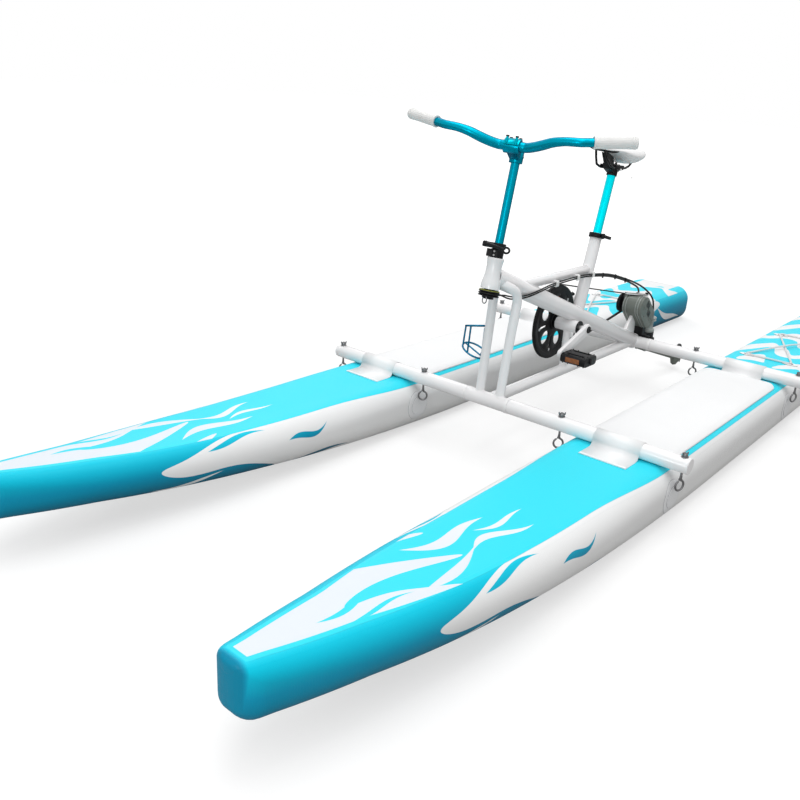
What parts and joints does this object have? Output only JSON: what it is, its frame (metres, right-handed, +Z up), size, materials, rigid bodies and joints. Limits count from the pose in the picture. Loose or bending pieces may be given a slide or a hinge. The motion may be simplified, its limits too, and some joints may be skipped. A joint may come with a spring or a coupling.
{
  "type": "water bike",
  "caption": "Inflatable pedal catamaran: air-filled pontoons under a welded bicycle frame whose crank, belt and gear case drive a steerable, tilting propeller leg",
  "frame": {"origin": "On the ground under the middle of the bike's bounding box", "axes": "+Y points aft, so the bows point to -Y; +X is the rider's left; +Z is up"},
  "size_m": [1.15, 3.26, 0.9114],
  "materials": {
    "pvc_fabric": "white and turquoise printed PVC skin, slightly glossy",
    "eva_foam": "matte off-white closed-cell foam",
    "bungee_cord": "white braided elastic cord",
    "zinc_steel": "dull zinc-plated steel",
    "bright_steel": "bright stainless steel",
    "white_powder_coat": "gloss white powder coat on welded aluminium",
    "dark_turquoise_anodised": "dark turquoise anodised aluminium",
    "turquoise_anodised": "glossy turquoise anodised aluminium",
    "light_turquoise_anodised": "glossy bright turquoise anodised aluminium",
    "cable_jacket": "black plastic cable jacket",
    "black_alloy": "satin black anodised aluminium",
    "white_rubber": "soft matte white grip rubber",
    "white_vinyl": "smooth white saddle cover over foam",
    "white_crank_paint": "white painted forged aluminium",
    "black_pedal_plastic": "black moulded plastic",
    "belt_rubber": "matte black drive belt rubber",
    "grey_cast_paint": "grey paint on cast aluminium",
    "light_grey_paint": "light grey paint on cast aluminium",
    "propeller_plastic": "black reinforced plastic"
  },
  "bodies": {
    "frame": {"pontoon_left": "pvc_fabric", "pontoon_right": "pvc_fabric", "deck_pad_left": "eva_foam", "deck_pad_right": "eva_foam", "bungee_left": "bungee_cord", "bungee_right": "bungee_cord", "tie_down_front_left_inner": "zinc_steel", "tie_down_front_left_outer": "zinc_steel", "tie_down_front_right_inner": "zinc_steel", "tie_down_front_right_outer": "zinc_steel", "tie_down_rear_left_inner": "zinc_steel", "tie_down_rear_left_outer": "zinc_steel", "tie_down_rear_right_inner": "zinc_steel", "tie_down_rear_right_outer": "zinc_steel", "front_crossmember": "white_powder_coat", "rear_crossmember": "white_powder_coat", "outrigger_front_left": "white_powder_coat", "outrigger_front_right": "white_powder_coat", "outrigger_rear_left": "white_powder_coat", "outrigger_rear_right": "white_powder_coat", "bottom_rail": "white_powder_coat", "main_tube": "white_powder_coat", "head_tube": "white_powder_coat", "seat_tube": "white_powder_coat", "top_brace": "white_powder_coat", "bottom_bracket_shell": "white_powder_coat", "front_leg_left": "white_powder_coat", "front_leg_right": "white_powder_coat", "bottle_cage": "dark_turquoise_anodised", "steering_cable": "cable_jacket", "seat_collar": "black_alloy", "belt": "belt_rubber", "drive_housing": "grey_cast_paint", "drive_cover": "light_grey_paint", "drive_cradle": "black_alloy"},
    "steering": {"steerer": "black_alloy", "steering_pulley": "black_alloy", "height_clamp": "black_alloy"},
    "height_lever": {"height_lever": "black_alloy"},
    "handlebar_post": {"stem_post": "turquoise_anodised", "stem": "turquoise_anodised", "faceplate": "light_turquoise_anodised", "handlebar": "turquoise_anodised", "grip_left": "white_rubber", "grip_right": "white_rubber"},
    "seat": {"seatpost": "turquoise_anodised", "saddle_clamp": "black_alloy", "saddle": "white_vinyl"},
    "seat_lever": {"seat_lever": "black_alloy"},
    "crankset": {"crank_right": "white_crank_paint", "chainring": "black_alloy", "crank_left": "white_crank_paint"},
    "pedal_left": {"pedal_left": "black_pedal_plastic"},
    "pedal_right": {"pedal_right": "black_pedal_plastic"},
    "drive_input": {"drive_pulley": "black_alloy"},
    "drive_output": {"output_gear": "zinc_steel"},
    "drive_latch": {"drive_latch": "bright_steel"},
    "swivel": {"steering_swivel": "light_grey_paint"},
    "leg": {"propeller_leg": "grey_cast_paint"},
    "propeller": {"propeller": "propeller_plastic"}
  },
  "joints": [
    {"name": "steering", "type": "hinge", "parent": "frame", "child": "steering", "pos_m": [0, -0.4737, 0.4873], "axis": [0, 0.1867, 0.9824], "range_deg": [-61, 29]},
    {"name": "handlebar_height", "type": "slide", "parent": "steering", "child": "handlebar_post", "axis": [0, 0.1867, 0.9824], "range_m": [-0.1, 0.04]},
    {"name": "height_lever_swing", "type": "hinge", "parent": "steering", "child": "height_lever", "pos_m": [-0.024, -0.47894, 0.60006], "axis": [0, -0.1867, -0.9824], "range_deg": [0, 150]},
    {"name": "seat_height", "type": "slide", "parent": "frame", "child": "seat", "axis": [0, 0.2288, 0.9735], "range_m": [-0.1, 0.03]},
    {"name": "seat_lever_swing", "type": "hinge", "parent": "frame", "child": "seat_lever", "pos_m": [0.0298, 0.06026, 0.5782], "axis": [0, -0.2288, -0.9735], "range_deg": [0, 150]},
    {"name": "crank", "type": "hinge", "parent": "frame", "child": "crankset", "pos_m": [0, -0.029, 0.3133], "axis": [1, 0, 0], "continuous": true},
    {"name": "pedal_left_spin", "type": "hinge", "parent": "crankset", "child": "pedal_left", "pos_m": [0.122, -0.17166, 0.26695], "axis": [1, 0, 0], "continuous": true},
    {"name": "pedal_right_spin", "type": "hinge", "parent": "crankset", "child": "pedal_right", "pos_m": [-0.122, 0.11366, 0.35965], "axis": [1, 0, 0], "continuous": true},
    {"name": "drive_input", "type": "hinge", "parent": "frame", "child": "drive_input", "pos_m": [0, 0.434, 0.3023], "axis": [1, 0, 0], "continuous": true},
    {"name": "drive_output", "type": "hinge", "parent": "frame", "child": "drive_output", "pos_m": [0, 0.434, 0.3023], "axis": [0, 0.7481, -0.6636], "continuous": true},
    {"name": "latch_swing", "type": "hinge", "parent": "frame", "child": "drive_latch", "pos_m": [-0.02751, 0.41614, 0.3418], "axis": [0, 0, -1], "range_deg": [0, 75]},
    {"name": "leg_swivel", "type": "hinge", "parent": "frame", "child": "swivel", "pos_m": [0, 0.557, 0.1703], "axis": [0, 0, 1], "range_deg": [-20, 40]},
    {"name": "leg_tilt", "type": "hinge", "parent": "swivel", "child": "leg", "pos_m": [0, 0.557, 0.1303], "axis": [-0.985, 0.1723, 0], "range_deg": [0, 72]},
    {"name": "propeller_spin", "type": "hinge", "parent": "leg", "child": "propeller", "pos_m": [0.04096, 0.79121, 0.05305], "axis": [0.0532, 0.3044, 0.9511], "continuous": true}
  ],
  "couplings": [
    {"joint": "drive_input", "follows": "crank", "ratio": 3.6885},
    {"joint": "drive_output", "follows": "crank", "ratio": 3.6885},
    {"joint": "propeller_spin", "follows": "crank", "ratio": 3.6885},
    {"joint": "leg_swivel", "follows": "steering", "ratio": -0.62}
  ]
}
